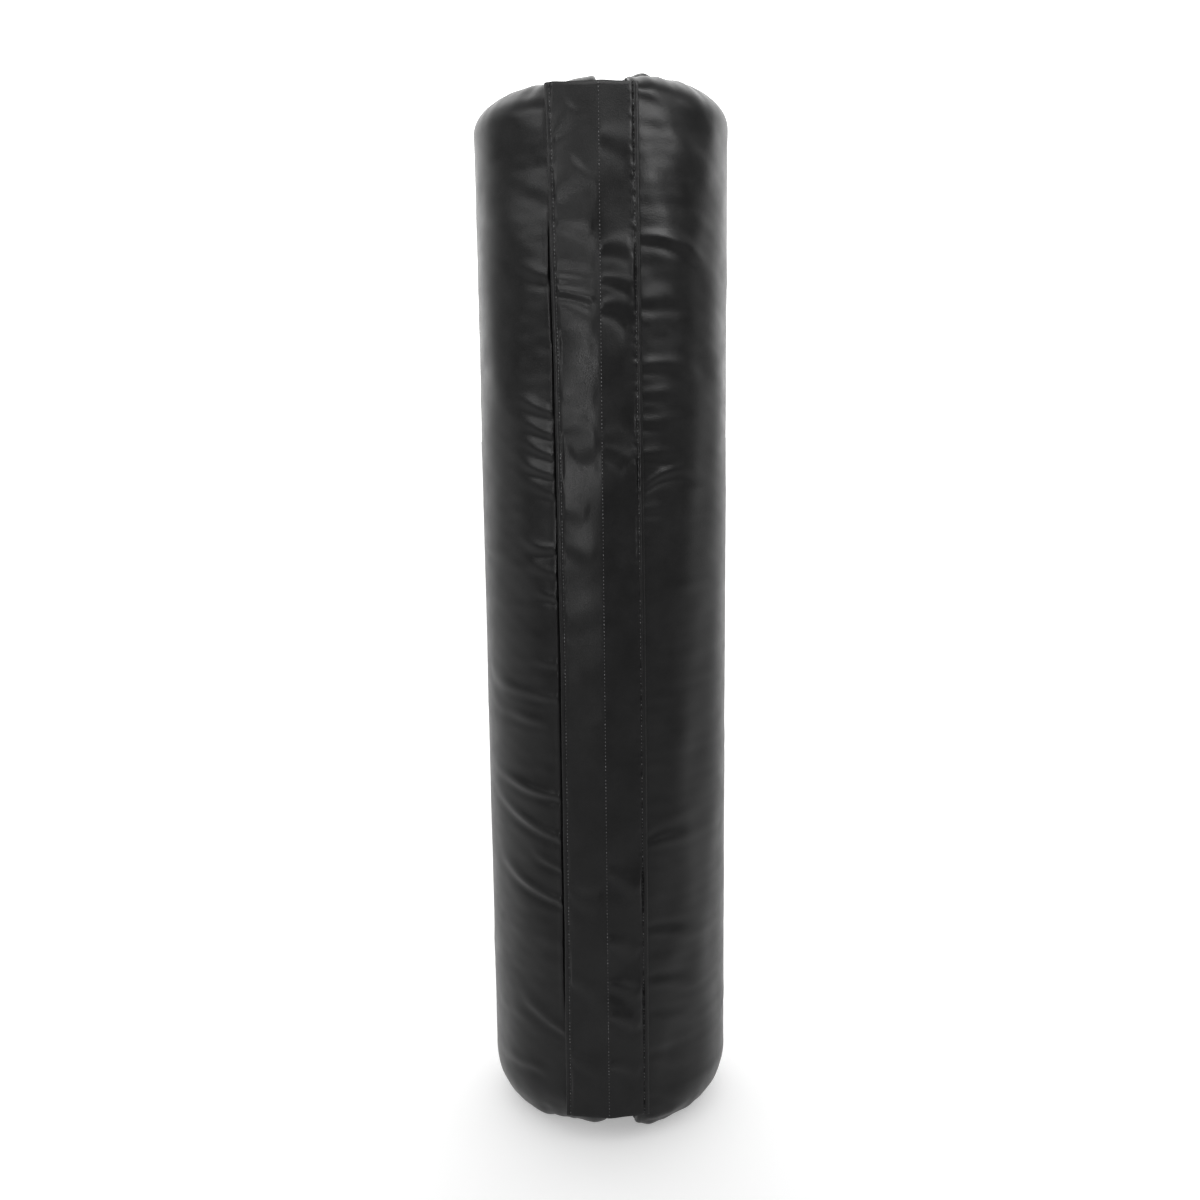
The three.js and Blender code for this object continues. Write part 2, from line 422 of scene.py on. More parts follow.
def flap_height(angle, z):
    """How far the flap's outer face stands off the wall's radius."""
    free_edge, right_row, fold_edge = flap_lines(z)
    from_edge = (angle - free_edge) * RADIUS
    from_mid = (angle - MID_ROW) * RADIUS
    from_row = (angle - right_row) * RADIUS
    to_fold = (fold_edge - angle) * RADIUS
    between = smooth(from_edge, HEM, HEM + 5 * MM) * smooth(-from_row, 0, 5 * MM)
    sway = wander(z, SEED + 6, (0.31, 0.17, 0.083), (0.8, 0.6, 0.3)) * MM
    height = flap_shape(from_edge, from_mid, from_row, to_fold)
    height += flap_folds(angle * RADIUS, z, from_mid) * between
    height += 0.6 * bell(from_edge, 9 * MM) * sway
    return height + flap_stitching(z, from_edge, from_mid, from_row)


# ---- The cover ----
def calm_sides(angle):
    """The vinyl is drawn tightest round the two sides, so the folds are low there."""
    return 1 - 0.75 * bell(np.abs(angle) - math.radians(84), math.radians(26))


def edge_groove(angle, z):
    """The hollow that the flap's free edge leaves in the cover beside it, with a soft lip outside it."""
    from_edge = (angle - flap_lines(z)[0]) * RADIUS
    hollow = smooth(from_edge, -4.4 * MM, -1.8 * MM) * (1 - smooth(from_edge, 1.2 * MM, 4.4 * MM))
    lip = bell(from_edge + 6.5 * MM, 3 * MM)
    deep = smooth(z, 0.12, 0.22) * (1 - smooth(z, 1.06, 1.12))
    return (0.7 * lip - 4.2 * hollow) * MM * deep


def slit_share(angle):
    """0 at the slit, where the corners stand square, and 1 round the sides and back."""
    return smooth(np.abs(angle), math.radians(9), math.radians(30))


def cover_base(rows_wall=460, rows_shoulder=20, columns=330):
    """The smooth outer surface as a grid: from the top seam down the wall to the bottom seam."""
    turns = np.linspace(1, 0, rows_shoulder + 1)
    top = [("top", t) for t in turns]
    wall = [("wall", t) for t in np.linspace(0, 1, rows_wall)][1:-1]
    bottom = [("bottom", t) for t in turns[::-1]]
    x, y = c_plan(np.full((1, columns), RADIUS))
    share = slit_share(signed_angle(x[0], y[0]))
    top_in = (RADIUS - TOP_SEAM_RADIUS) * (0.85 + 0.15 * share)
    top_down = TOP_SHOULDER * (0.6 + 0.4 * share)
    low_in = (RADIUS - BOTTOM_SEAM_RADIUS) * (0.85 + 0.15 * share)
    low_up = BOTTOM_SHOULDER * (0.7 + 0.3 * share)
    radius, z = [], []
    for part, t in [*top, *wall, *bottom]:
        lift, inward = math.sin(t * math.pi / 2), 1 - math.cos(t * math.pi / 2)
        if part == "top":
            radius.append(RADIUS - top_in * inward)
            z.append(HEIGHT - top_down * (1 - lift))
        elif part == "bottom":
            radius.append(RADIUS - low_in * inward)
            z.append(low_up * (1 - lift))
        else:
            radius.append(np.full(columns, RADIUS))
            z.append((HEIGHT - top_down) * (1 - t) + low_up * t)
    radius, z = np.array(radius), np.array(z)
    x, y = c_plan(radius)
    return np.stack([x, y, z + end_shift(signed_angle(x, y), z)], -1)


LEFT_TOP_DROP, SLIT_TOP_DROP = 5.5 * MM, 2.5 * MM
LEFT_LOW_RISE, SLIT_LOW_RISE = 7 * MM, 5 * MM


def end_shift(angle, z):
    """The left half ends a little lower on top than the right one, and a little higher at the bottom."""
    degrees = np.degrees(angle)
    left_top = smooth(-degrees, 10, 32) * (1 - smooth(-degrees, 85, 130))
    slit_top = 1 - smooth(np.abs(degrees), 9, 24)
    left_low = smooth(-degrees, 0, 8) * (1 - smooth(-degrees, 30, 52))
    slit_low = 1 - smooth(np.abs(degrees), 8, 16)
    near_top = smooth(z, HEIGHT - 70 * MM, HEIGHT - 8 * MM)
    near_low = 1 - smooth(z, 8 * MM, 70 * MM)
    drop = (LEFT_TOP_DROP * left_top + SLIT_TOP_DROP * slit_top) * near_top
    rise = (LEFT_LOW_RISE * left_low + SLIT_LOW_RISE * slit_low) * near_low
    return rise - drop


def cover_lift(angle, z):
    """How far the cover stands off its smooth shape at an angle and a height."""
    s = angle * RADIUS
    whole = np.mod(angle, math.tau) * RADIUS
    lift = RIGHT_STRENGTH * all_folds(s, z, RIGHT_FOLDS) + LEFT_STRENGTH * all_folds(s, z, LEFT_FOLDS)
    lift += all_folds(whole, z, random_folds(SEED, 46))
    lift += 0.5 * MM * blotches(whole, z * 1.6, SEED + 1, 0.16)
    lift += 0.14 * MM * blotches(whole, z * 2.2, SEED + 2, 0.045)
    return lift * calm_sides(angle) * (1 - 0.9 * under_flap(angle, z)) + edge_groove(angle, z)


def seam_gathers(base):
    """Small puckers that the two cap seams pull into the cover."""
    whole = np.mod(signed_angle(base[..., 0], base[..., 1]), math.tau) * RADIUS
    row = np.arange(len(base))[:, None]
    from_seam = np.minimum(row, len(base) - 1 - row)
    gathers = wander(whole, SEED + 3, (0.031, 0.023, 0.044), (0.35, 0.25, 0.35)) * MM
    return gathers * bell(from_seam, 12) * smooth(from_seam, 0, 4)


CLOTH = {
    "quality": 6,
    "mass": 0.3,
    "air_damping": 4,
    "tension_stiffness": 25,
    "compression_stiffness": 25,
    "shear_stiffness": 8,
    "bending_stiffness": 0.6,
    "use_pressure": True,
    "uniform_pressure_force": 2.5,
}
CLOTH_FRAMES = 20
CLOTH_STEP = 3  # the cloth has one row and column for this many of the cover's
MOST_WRINKLE = 2.2 * MM


def settled(start, rest, pinned):
    """The points of a grid of cloth after it has settled.

    The cloth starts at start, wants the thread lengths that rest has, and is held where pinned is true.
    """
    rows, columns = start.shape[:2]
    cloth = mesh_object("settling", start, grid_quads(rows, columns)[1])
    cloth.shape_key_add(name="start")
    threads = cloth.shape_key_add(name="threads")
    threads.data.foreach_set("co", rest.astype(np.float32).ravel())
    group = cloth.vertex_groups.new(name="held")
    group.add(np.flatnonzero(pinned.ravel()).tolist(), 1.0, "REPLACE")
    settings = cloth.modifiers.new("cloth", "CLOTH").settings
    for key, value in CLOTH.items():
        setattr(settings, key, value)
    settings.vertex_group_mass = group.name
    settings.rest_shape_key = threads
    settings.effector_weights.gravity = 0
    scene = bpy.context.scene
    for number in range(1, CLOTH_FRAMES + 1):
        scene.frame_set(number)
    points = np.empty(rows * columns * 3, np.float32)
    cloth.evaluated_get(bpy.context.evaluated_depsgraph_get()).data.vertices.foreach_get("co", points)
    bpy.data.objects.remove(cloth)
    scene.frame_set(1)
    return points.reshape(rows, columns, 3).astype(float)


def softened(grid, down, across):
    """A grid of values smoothed by a number of passes down its columns and across its rows."""
    for _ in range(down):
        tall = np.pad(grid, ((1, 1), (0, 0)), mode="edge")
        grid = (tall[:-2] + tall[2:]) / 4 + grid / 2
    for _ in range(across):
        wide = np.pad(grid, ((0, 0), (1, 1)), mode="edge")
        grid = (wide[:, :-2] + wide[:, 2:]) / 4 + grid / 2
    return grid


def refined(coarse, rows, columns):
    """A coarse grid of values spread over a fine one, and smoothed."""
    at_rows = np.arange(rows) / CLOTH_STEP
    at_columns = np.arange(columns) / CLOTH_STEP
    half = np.array([np.interp(at_rows, np.arange(len(coarse)), line) for line in coarse.T]).T
    fine = np.array([np.interp(at_columns, np.arange(coarse.shape[1]), line) for line in half])
    return softened(fine, 2 * CLOTH_STEP, 2 * CLOTH_STEP)


def slack(angle, z):
    """The spare vinyl, as the height of ripples in its cut: most along the slit, little at the back."""
    whole = np.mod(angle, math.tau) * RADIUS
    from_slit = np.abs(angle) * RADIUS
    drift = wander(whole, SEED + 20, (0.35, 0.21), (9, 6)) * MM
    ripples = wander(z + drift, SEED + 21, (0.034, 0.027, 0.052, 0.083), (0.9, 0.7, 0.9, 0.6))
    return ripples * MM * (0.25 + 1.0 * bell(from_slit - 55 * MM, 55 * MM))


def cloth_lift(base, out, hand_lift):
    """What a cloth simulation adds to the listed folds: the wrinkles that run round the pad."""
    small, small_out, placed = (grid[::CLOTH_STEP, ::CLOTH_STEP] for grid in (base, out, hand_lift))
    angle = signed_angle(small[..., 0], small[..., 1])
    spare = slack(angle, small[..., 2])
    start = small + small_out * placed[..., None]
    rest = small + small_out * (placed + spare)[..., None]
    held = np.zeros(small.shape[:2], bool)
    held[:2] = held[-2:] = True
    held[:, :5] = held[:, -5:] = True
    after = settled(start, rest, held)
    moved = softened(((after - start) * small_out).sum(-1), 1, 14)
    wrinkles = moved - softened(moved, 50, 10)
    return refined(MOST_WRINKLE * np.tanh(wrinkles / MOST_WRINKLE), *base.shape[:2])


def outer_cover():
    base = cover_base()
    out = normals(base)
    angle = signed_angle(base[..., 0], base[..., 1])
    z = base[..., 2]
    at_slit = 1 - smooth(np.abs(angle), math.radians(7.0), math.radians(10))
    lift = (cover_lift(angle, z) + seam_gathers(base)) * (1 - 0.9 * at_slit)
    free = calm_sides(angle) * (1 - under_flap(angle, z)) * (1 - at_slit)
    lift += cloth_lift(base, out, lift) * free
    skin = base + out * lift[..., None]
    for row, share in ((0, 1.0), (1, 0.42)):
        skin[row, :, 2] -= share * SEAM_DEPTH
        skin[-1 - row, :, 2] += share * SEAM_DEPTH
    near_top = 1 - smooth(np.arange(len(base))[:, None], 4, 44)
    skin[..., 2] += CORNER_RISE * bell(np.abs(angle) - math.radians(9), math.radians(2.2)) * near_top
    skin[..., 2] = np.maximum(skin[..., 2], FLOOR_CLEARANCE)
    piece = shell("outer_cover", skin, skin - normals(skin) * VINYL)
    return piece, skin


# ---- The two ends, the bore and the slit ----
TOP_CROWN, LOW_CROWN = 1.6 * MM, 0.2 * MM  # how far a cap swells out past its seam
TOP_PUFF = 8 * MM  # the top cap stands higher just to the right of the slit
BORE_ROLL = 2.6 * MM  # how far a cap turns in at the bore
SEAM_STEP = 0.6 * MM  # from the cover's edge in to the cap's
LINING_END = 2 * MM  # the lining and the facings stop this far from the ends
FACING_INSET = 1.5 * MM  # from the slit's face back to the facing
FOAM_SLIT_INSET = 4 * MM  # from the slit's face back to the foam


def end_cap(name, seam, top, rows=30):
    """The skin across one end, from its seam with the cover to the bore."""
    seam = seam[TUCK_COLUMNS:-TUCK_COLUMNS]
    columns = len(seam)
    start = math.asin(HALF_SLIT / BORE)
    angle = start + (math.tau - 2 * start) * np.linspace(0, 1, columns)
    bore = polar(BORE, angle, 0.0)
    t = np.linspace(0, 1, rows)[:, None]
    x = seam[:, 0] * (1 - t) + bore[:, 0] * t
    y = seam[:, 1] * (1 - t) + bore[:, 1] * t
    width = np.hypot(seam[:, 0] - bore[:, 0], seam[:, 1] - bore[:, 1])
    from_seam, from_bore = t * width, (1 - t) * width
    around = np.mod(signed_angle(x, y), math.tau) * RADIUS
    puff = TOP_PUFF * bell(np.degrees(signed_angle(x, y)) - 27, 15)
    crown = SEAM_DEPTH + (TOP_CROWN + puff if top else LOW_CROWN)
    swell = crown * (1 - bell(from_seam, 9 * MM)) - BORE_ROLL * bell(from_bore, 5 * MM)
    gathers = wander(around, SEED + 13, (0.027, 0.019, 0.041), (0.5, 0.4, 0.4)) * MM
    swell += gathers * bell(from_seam - 5 * MM, 9 * MM)
    swell += 0.45 * MM * blotches(x, y, SEED + 14, 0.05) * (1 - bell(from_bore, 8 * MM))
    if top:
        z = seam[:, 2] - SEAM_STEP + swell
        under = -VINYL
    else:
        z = np.maximum(seam[:, 2] + SEAM_STEP - swell, FLOOR_CLEARANCE)
        under = VINYL
    skin = np.stack([x, y, z], -1)
    return shell(name, skin, skin + np.array([0, 0, under]))


def bore_lining(rows=240, columns=120):
    z = np.linspace(HEIGHT - LINING_END, LINING_END, rows)[:, None]
    start = math.asin(HALF_SLIT / BORE)
    angle = start + (math.tau - 2 * start) * np.linspace(0, 1, columns)[None]
    wrinkle = 0.35 * MM * blotches(angle * BORE + 0 * z, z * 1.7 + 0 * angle, SEED + 15, 0.05)
    wrinkle *= smooth(np.minimum(z, HEIGHT - z), 0, 20 * MM)
    inner = polar(BORE + np.maximum(wrinkle, -0.3 * MM) + 0.3 * MM, angle, z)
    outer = polar(LINING_OUTER + 0.6 * MM, angle, z)
    return shell("bore_lining_skin", outer, inner)


def slit_facing(name, side, rows=300, columns=34):
    """The skin down one face of the slit, from the rolled corner of the cover to the bore."""
    z = np.linspace(HEIGHT - LINING_END, LINING_END, rows)[:, None]
    front = -math.sqrt((RADIUS - CORNER) ** 2 - (HALF_SLIT + CORNER) ** 2) + 0.6 * TUCK
    back = -math.sqrt(LINING_OUTER**2 - HALF_SLIT**2) - 0.4 * MM
    t = np.linspace(0, 1, columns)[None]
    shoulder_in = 46 * MM * bell(HEIGHT - z, 16 * MM) + 38 * MM * bell(z, 20 * MM)
    y = (front + shoulder_in) * (1 - t) + back * t
    depth = (y - front) / (back - front)
    puff = 0.9 * MM * np.sin(math.pi * np.clip(depth, 0, 1)) ** 0.7
    puff += 0.35 * MM * blotches(y, z + 0 * y, SEED + 16, 0.045) * np.sin(math.pi * depth)
    x = HALF_SLIT + FACING_INSET - np.clip(puff, -0.4 * MM, 1.4 * MM)
    skin = np.stack(np.broadcast_arrays(side * x, y, z), -1)
    back_skin = np.stack(np.broadcast_arrays(side * (HALF_SLIT + FACING_INSET + VINYL), y, z), -1)
    return shell(name, skin, back_skin)


def foam_ring(name, outer_radius, inner_radius, z, columns=140):
    """Foam in the plan of the C between two radii. Each radius may change from row to row."""
    slit_face = HALF_SLIT + FOAM_SLIT_INSET
    grids = []
    for radius in (outer_radius, inner_radius):
        start = np.arcsin(slit_face / radius)[:, None]
        angle = start + (math.tau - 2 * start) * np.linspace(0, 1, columns)
        grids.append(polar(radius[:, None], angle, z[:, None]))
    return shell(name, *grids)


def inner_foam(rows=120):
    z = np.linspace(HEIGHT - FOAM_END, FOAM_END, rows)
    bore = LINING_OUTER + 1.2 * MM
    return foam_ring("inner_foam_core", np.full(rows, FOAM_SPLIT), np.full(rows, bore), z)


def outer_foam(steps=12):
    """The soft foam follows the cover from inside."""
    wall = RADIUS - FOAM_INSET
    top_end, low_end = TOP_SEAM_RADIUS - FOAM_INSET, BOTTOM_SEAM_RADIUS - FOAM_INSET
    turns = np.linspace(math.pi / 2, 0, steps)
    top_r = top_end + (wall - top_end) * np.cos(turns)
    top_z = HEIGHT - TOP_SHOULDER + (TOP_SHOULDER - FOAM_END) * np.sin(turns)
    low_r = low_end + (wall - low_end) * np.cos(turns[::-1])
    low_z = BOTTOM_SHOULDER - (BOTTOM_SHOULDER - FOAM_END) * np.sin(turns[::-1])
    middle_z = np.linspace(top_z[-1], low_z[0], 100)[1:-1]
    radius = np.concatenate([top_r, np.full(len(middle_z), wall), low_r])
    z = np.concatenate([top_z, middle_z, low_z])
    return foam_ring("outer_foam_core", radius, np.full(len(z), FOAM_SPLIT + 0.3 * MM), z)


# ---- The flap and its tapes ----
def flap_panel(name, columns, is_tab, rows=480):
    """One panel of the flap: the tab, from its free edge to the mid row, or the bridge, from there on."""
    z = np.linspace(FLAP_HIGH, FLAP_LOW, rows)[:, None]
    free_edge, _, fold_edge = flap_lines(z)
    first, last = (free_edge, MID_ROW) if is_tab else (MID_ROW, fold_edge)
    even = np.linspace(0, 1, columns)[None]
    to_rim = 1 - np.cos(even * math.pi / 2) if is_tab else np.sin(even * math.pi / 2)
    angle = first + (last - first) * (0.35 * even + 0.65 * to_rim)
    z = z + 0 * angle
    from_side = (angle - free_edge if is_tab else fold_edge - angle) * RADIUS
    rim = np.minimum(from_side, np.minimum(FLAP_HIGH - z, z - FLAP_LOW))
    round_off = np.clip(rim / (0.5 * FLAP_THICKNESS), 0, 1)
    thickness = FLAP_THICKNESS * (0.12 + 0.88 * np.sqrt(1 - (1 - round_off) ** 2))
    z_wave = 0.5 * MM * wander(angle * RADIUS, SEED + 7, (0.06, 0.027), (0.7, 0.4))
    z = z + z_wave * (z - (FLAP_HIGH + FLAP_LOW) / 2) / (FLAP_HIGH - FLAP_LOW) * 2
    middle = flap_height(angle, z) - FLAP_THICKNESS / 2
    outer = polar(RADIUS + middle + thickness / 2, angle, z)
    inner = polar(RADIUS + middle - thickness / 2, angle, z)
    return shell(name, outer, inner)


def hook_tape(rows=360, columns=30):
    """The hook tape lies against the back of the tab."""
    z = np.linspace(HOOK_HIGH, HOOK_LOW, rows)[:, None]
    free_edge = flap_lines(z)[0]
    first, last = free_edge + 3 * MM / RADIUS, MID_ROW - 4.5 * MM / RADIUS
    angle = first + (last - first) * np.linspace(0, 1, columns)
    z = z + 0 * angle
    top = RADIUS + flap_height(angle, z) - FLAP_THICKNESS - 0.05 * MM
    return shell("hook_tape_strip", polar(top, angle, z), polar(top - TAPE, angle, z))


LOOP_FIRST, LOOP_LAST = math.radians(-24.6), math.radians(-8.2)
LOOP_MARGIN = 1.5 * MM / RADIUS  # from an edge of the loop tape to its stitch row
LOOP_REST = 0.1 * MM  # between the loop tape and the cover


def loop_face(angle, z):
    """How far the loop tape's outer face stands off the wall's radius."""
    return cover_lift(angle, z) + LOOP_REST + TAPE


def loop_tape(rows=360, columns=30):
    """The loop tape lies on the left half's cover."""
    z = np.linspace(LOOP_HIGH, LOOP_LOW, rows)[:, None]
    angle = np.linspace(LOOP_FIRST, LOOP_LAST, columns)[None] + 0 * z
    z = z + 0 * angle
    top = RADIUS + loop_face(angle, z)
    return shell("loop_tape_strip", polar(top, angle, z), polar(top - TAPE, angle, z))


# ---- Stitches ----
def bead():
    """The points and faces of a small ball made of four-sided faces."""
    work = bmesh.new()
    bmesh.ops.create_cube(work, size=2)
    bmesh.ops.subdivide_edges(work, edges=work.edges[:], cuts=1, use_grid_fill=True)
    points = np.array([vertex.co.normalized() for vertex in work.verts])
    quads = np.array([[vertex.index for vertex in face.verts] for face in work.faces])
    work.free()
    return points, quads


def stitch_row(name, points, out, lean_degrees=0.0, size=(1.1 * MM, 0.5 * MM, 0.45 * MM)):
    """One stitch at each point of a line, lying along it. out is the surface's outward direction there."""
    ball, faces = bead()
    ahead = np.gradient(points, axis=0)
    ahead /= np.linalg.norm(ahead, axis=1, keepdims=True)
    side = np.cross(out, ahead)
    rng = np.random.default_rng(SEED + len(points))
    lean = np.radians(lean_degrees + rng.normal(0, 5, len(points)))[:, None]
    along = ahead * np.cos(lean) + side * np.sin(lean)
    across = side * np.cos(lean) - ahead * np.sin(lean)
    points = points - out * rng.uniform(-0.1, 0.3, (len(points), 1)) * MM
    axes = np.stack([along * size[0], across * size[1], out * size[2]], 1)
    vertices = points[:, None] + np.einsum("bi,nij->nbj", ball, axes)
    quads = faces[None] + (np.arange(len(points)) * len(ball))[:, None, None]
    return mesh_object(name, vertices, quads, sharp_degrees=180)


def wall_line(angle_at, height_at, low, high):
    """Points a stitch apart on a line up the wall, and the outward direction at each."""
    z = np.arange(low + STITCH_PITCH, high - STITCH_PITCH / 2, STITCH_PITCH)
    angle = angle_at(z) + np.zeros_like(z)
    radius = RADIUS + height_at(angle, z)
    return polar(radius, angle, z), polar(1.0, angle, 0 * z)


# ---- Materials ----
def node_material(name, base, roughness, specular=0.5):
    material = bpy.data.materials.new(name)
    material.use_nodes = True
    shader = material.node_tree.nodes["Principled BSDF"]
    shader.inputs["Base Color"].default_value = (*base, 1)
    shader.inputs["Roughness"].default_value = roughness
    shader.inputs["Specular IOR Level"].default_value = specular
    return material, material.node_tree, shader


def add(tree, kind, **settings):
    """Adds a node. Each setting is one of its inputs or, failing that, one of its properties."""
    node = tree.nodes.new(kind)
    for key, value in settings.items():
        label = key.replace("_", " ")
        if label in node.inputs:
            node.inputs[label].default_value = value
        else:
            setattr(node, key, value)
    return node


def map_range(tree, source, target, interpolation="SMOOTHSTEP"):
    """A node that maps one range of values to another."""
    node = add(tree, "ShaderNodeMapRange", interpolation_type=interpolation)
    for label, value in zip(("From Min", "From Max", "To Min", "To Max"), (*source, *target)):
        node.inputs[label].default_value = value
    return node


def object_place(tree):
    return add(tree, "ShaderNodeTexCoord").outputs["Object"]


def noise(tree, place, scale, detail=4.0, roughness=0.6):
    node = add(tree, "ShaderNodeTexNoise", Scale=scale, Detail=detail, Roughness=roughness)
    tree.links.new(place, node.inputs["Vector"])
    return node.outputs["Fac"]


def grey_ramp(tree, source, shader, dark, light, low=0.3, high=0.7):
    """Colours the shader between two greys."""
    ramp = add(tree, "ShaderNodeValToRGB")
    for stop, position, grey in zip(ramp.color_ramp.elements, (low, high), (dark, light)):
        stop.position = position
        stop.color = (grey, grey, grey * 1.03, 1)
    tree.links.new(source, ramp.inputs["Fac"])
    tree.links.new(ramp.outputs["Color"], shader.inputs["Base Color"])


def bump_from(tree, source, shader, strength, distance):
    bump = add(tree, "ShaderNodeBump", Strength=strength, Distance=distance)
    tree.links.new(source, bump.inputs["Height"])
    tree.links.new(bump.outputs["Normal"], shader.inputs["Normal"])


def vinyl_material(name, base=0.0075, roughness=0.36, grain=0.22):
    """Coated fabric: fine pebbled grain, uneven gloss and faint scuffs."""
    material, tree, shader = node_material(name, (base, base, base * 1.03), roughness, 0.19)
    place = object_place(tree)
    cells = add(tree, "ShaderNodeTexVoronoi", feature="SMOOTH_F1", Scale=900.0, Smoothness=0.6)
    tree.links.new(place, cells.inputs["Vector"])
    pebbles = add(tree, "ShaderNodeMath", operation="MULTIPLY_ADD")
    tree.links.new(noise(tree, place, 420.0), pebbles.inputs[0])
    pebbles.inputs[1].default_value = 0.7
    tree.links.new(cells.outputs["Distance"], pebbles.inputs[2])
    bump_from(tree, pebbles.outputs[0], shader, grain, 0.0004)
    patches = noise(tree, place, 26.0, 5.0, 0.62)
    gloss = map_range(tree, (0.3, 0.72), (roughness - 0.05, roughness + 0.07), "LINEAR")
    tree.links.new(patches, gloss.inputs["Value"])
    tree.links.new(gloss.outputs["Result"], shader.inputs["Roughness"])
    grey_ramp(tree, patches, shader, base * 0.8, base * 1.3)
    return material


def woven_material(name, base, threads=700.0, roughness=0.75):
    """Plain weave: two sets of threads at right angles."""
    material, tree, shader = node_material(name, (base, base, base * 1.03), roughness, 0.3)
    place = object_place(tree)
    weave = add(tree, "ShaderNodeMath", operation="MULTIPLY")
    for slot, direction in enumerate(("X", "Z")):
        wave = add(tree, "ShaderNodeTexWave", bands_direction=direction, Scale=threads, Distortion=0.4)
        tree.links.new(place, wave.inputs["Vector"])
        tree.links.new(wave.outputs["Fac"], weave.inputs[slot])
    bump_from(tree, weave.outputs[0], shader, 0.3, 0.0003)
    grey_ramp(tree, noise(tree, place, 60.0), shader, base * 0.8, base * 1.25)
    return material


def foam_material(name, colour, cell=520.0):
    """Open-cell foam: small pits with painted shade in them, and a dusty surface."""
    material, tree, shader = node_material(name, colour, 0.95, 0.2)
    place = object_place(tree)
    cells = add(tree, "ShaderNodeTexVoronoi", Scale=cell)
    tree.links.new(place, cells.inputs["Vector"])
    bump_from(tree, cells.outputs["Distance"], shader, 0.6, 0.0008)
    # painted shade: the colour darkens to 62 per cent of the foam's own colour in the pits of the cells
    painted_shade = add(tree, "ShaderNodeValToRGB")
    for stop, position, strength in zip(painted_shade.color_ramp.elements, (0.05, 0.5), (0.62, 1.0)):
        stop.position = position
        stop.color = (*(channel * strength for channel in colour), 1)
    tree.links.new(cells.outputs["Distance"], painted_shade.inputs["Fac"])
    tree.links.new(painted_shade.outputs["Color"], shader.inputs["Base Color"])
    return material


def fuzzy_material(name, base, scale, strength):
    """The pile of a hook or loop tape."""
    material, tree, shader = node_material(name, (base, base, base * 1.03), 0.9, 0.15)
    place = object_place(tree)
    cells = add(tree, "ShaderNodeTexVoronoi", Scale=scale, Randomness=0.5)
    tree.links.new(place, cells.inputs["Vector"])
    bump_from(tree, cells.outputs["Distance"], shader, strength, 0.0008)
    grey_ramp(tree, cells.outputs["Distance"], shader, base * 1.5, base * 0.5, 0.1, 0.7)
    shader.inputs["Sheen Weight"].default_value = 0.15
    return material


def thread_material(name, base=0.03):
    material, tree, shader = node_material(name, (base, base, base * 1.03), 0.5, 0.5)
    place = object_place(tree)
    wave = add(tree, "ShaderNodeTexWave", Scale=1500.0, Distortion=1.0, bands_direction="DIAGONAL")
    tree.links.new(place, wave.inputs["Vector"])
    bump_from(tree, wave.outputs["Fac"], shader, 0.4, 0.0001)
    # painted highlights: the colour swings at random from a quarter to six times the base, so that some
    # stitches look lit
    grey_ramp(tree, noise(tree, place, 160.0, 2.0), shader, base * 0.25, base * 6, 0.42, 0.64)
    return material


# ---- Stage ----
def stage_floor():
    """Pale paper with painted shade far in front, and a faint painted glow round the pad to meet the white
    beyond.
    """
    bpy.ops.mesh.primitive_plane_add(size=40)
    floor = bpy.context.object
    floor.name = "floor"
    material, tree, shader = node_material("floor_paper", (0.80, 0.80, 0.80), 0.9, 0.1)
    shader.inputs["Emission Color"].default_value = (1, 1, 1, 1)
    split = add(tree, "ShaderNodeSeparateXYZ")
    tree.links.new(object_place(tree), split.inputs[0])
    # painted shade: the paper's colour falls from 0.8 near the pad to 0.42 far in front
    painted_shade = map_range(tree, (-3.0, -0.5), (0.42, 0.8))
    # painted light: the paper glows, brightest from just in front of the pad backwards, which lightens the
    # pad's shadow and meets the white beyond
    painted_glow = map_range(tree, (-1.3, -0.1), (0.02, 0.36))
    for ramp, label in ((painted_shade, "Base Color"), (painted_glow, "Emission Strength")):
        tree.links.new(split.outputs["Y"], ramp.inputs["Value"])
        tree.links.new(ramp.outputs["Result"], shader.inputs[label])
    floor.data.materials.append(material)


def studio_world():
    """White behind the pad, pale above it and dim elsewhere, so that the black vinyl has bright rims."""
    world = bpy.data.worlds.new("studio")
    bpy.context.scene.world = world
    world.use_nodes = True
    tree = world.node_tree
    background = tree.nodes["Background"]
    split = add(tree, "ShaderNodeSeparateXYZ")
    turned = add(tree, "ShaderNodeVectorRotate", rotation_type="Z_AXIS", Angle=math.radians(7))
    tree.links.new(add(tree, "ShaderNodeTexCoord").outputs["Generated"], turned.inputs["Vector"])
    tree.links.new(turned.outputs[0], split.inputs[0])
    brighter = add(tree, "ShaderNodeMath", operation="MAXIMUM")
    dim = 0.15
    behind, above = map_range(tree, (0.3, 0.62), (dim, 2.3)), map_range(tree, (0.0, 0.5), (dim, 0.75))
    for slot, (axis, ramp) in enumerate((("Y", behind), ("Z", above))):
        tree.links.new(split.outputs[axis], ramp.inputs["Value"])
        tree.links.new(ramp.outputs["Result"], brighter.inputs[slot])
    tree.links.new(brighter.outputs[0], background.inputs["Strength"])
    background.inputs["Color"].default_value = (1, 1, 1, 1)


def softbox(name, place, aim, width, height, power):
    """A light that shows only in the gloss of the vinyl, so that the floor stays even."""
    light = bpy.data.lights.new(name, "AREA")
    light.shape = "RECTANGLE"
    light.size, light.size_y = width, height
    light.energy = power
    holder = bpy.data.objects.new(name, light)
    holder.location = place
    holder.rotation_mode = "QUATERNION"
    holder.rotation_quaternion = (Vector(aim) - Vector(place)).to_track_quat("-Z", "Y")
    holder.visible_diffuse = False
    bpy.context.scene.collection.objects.link(holder)


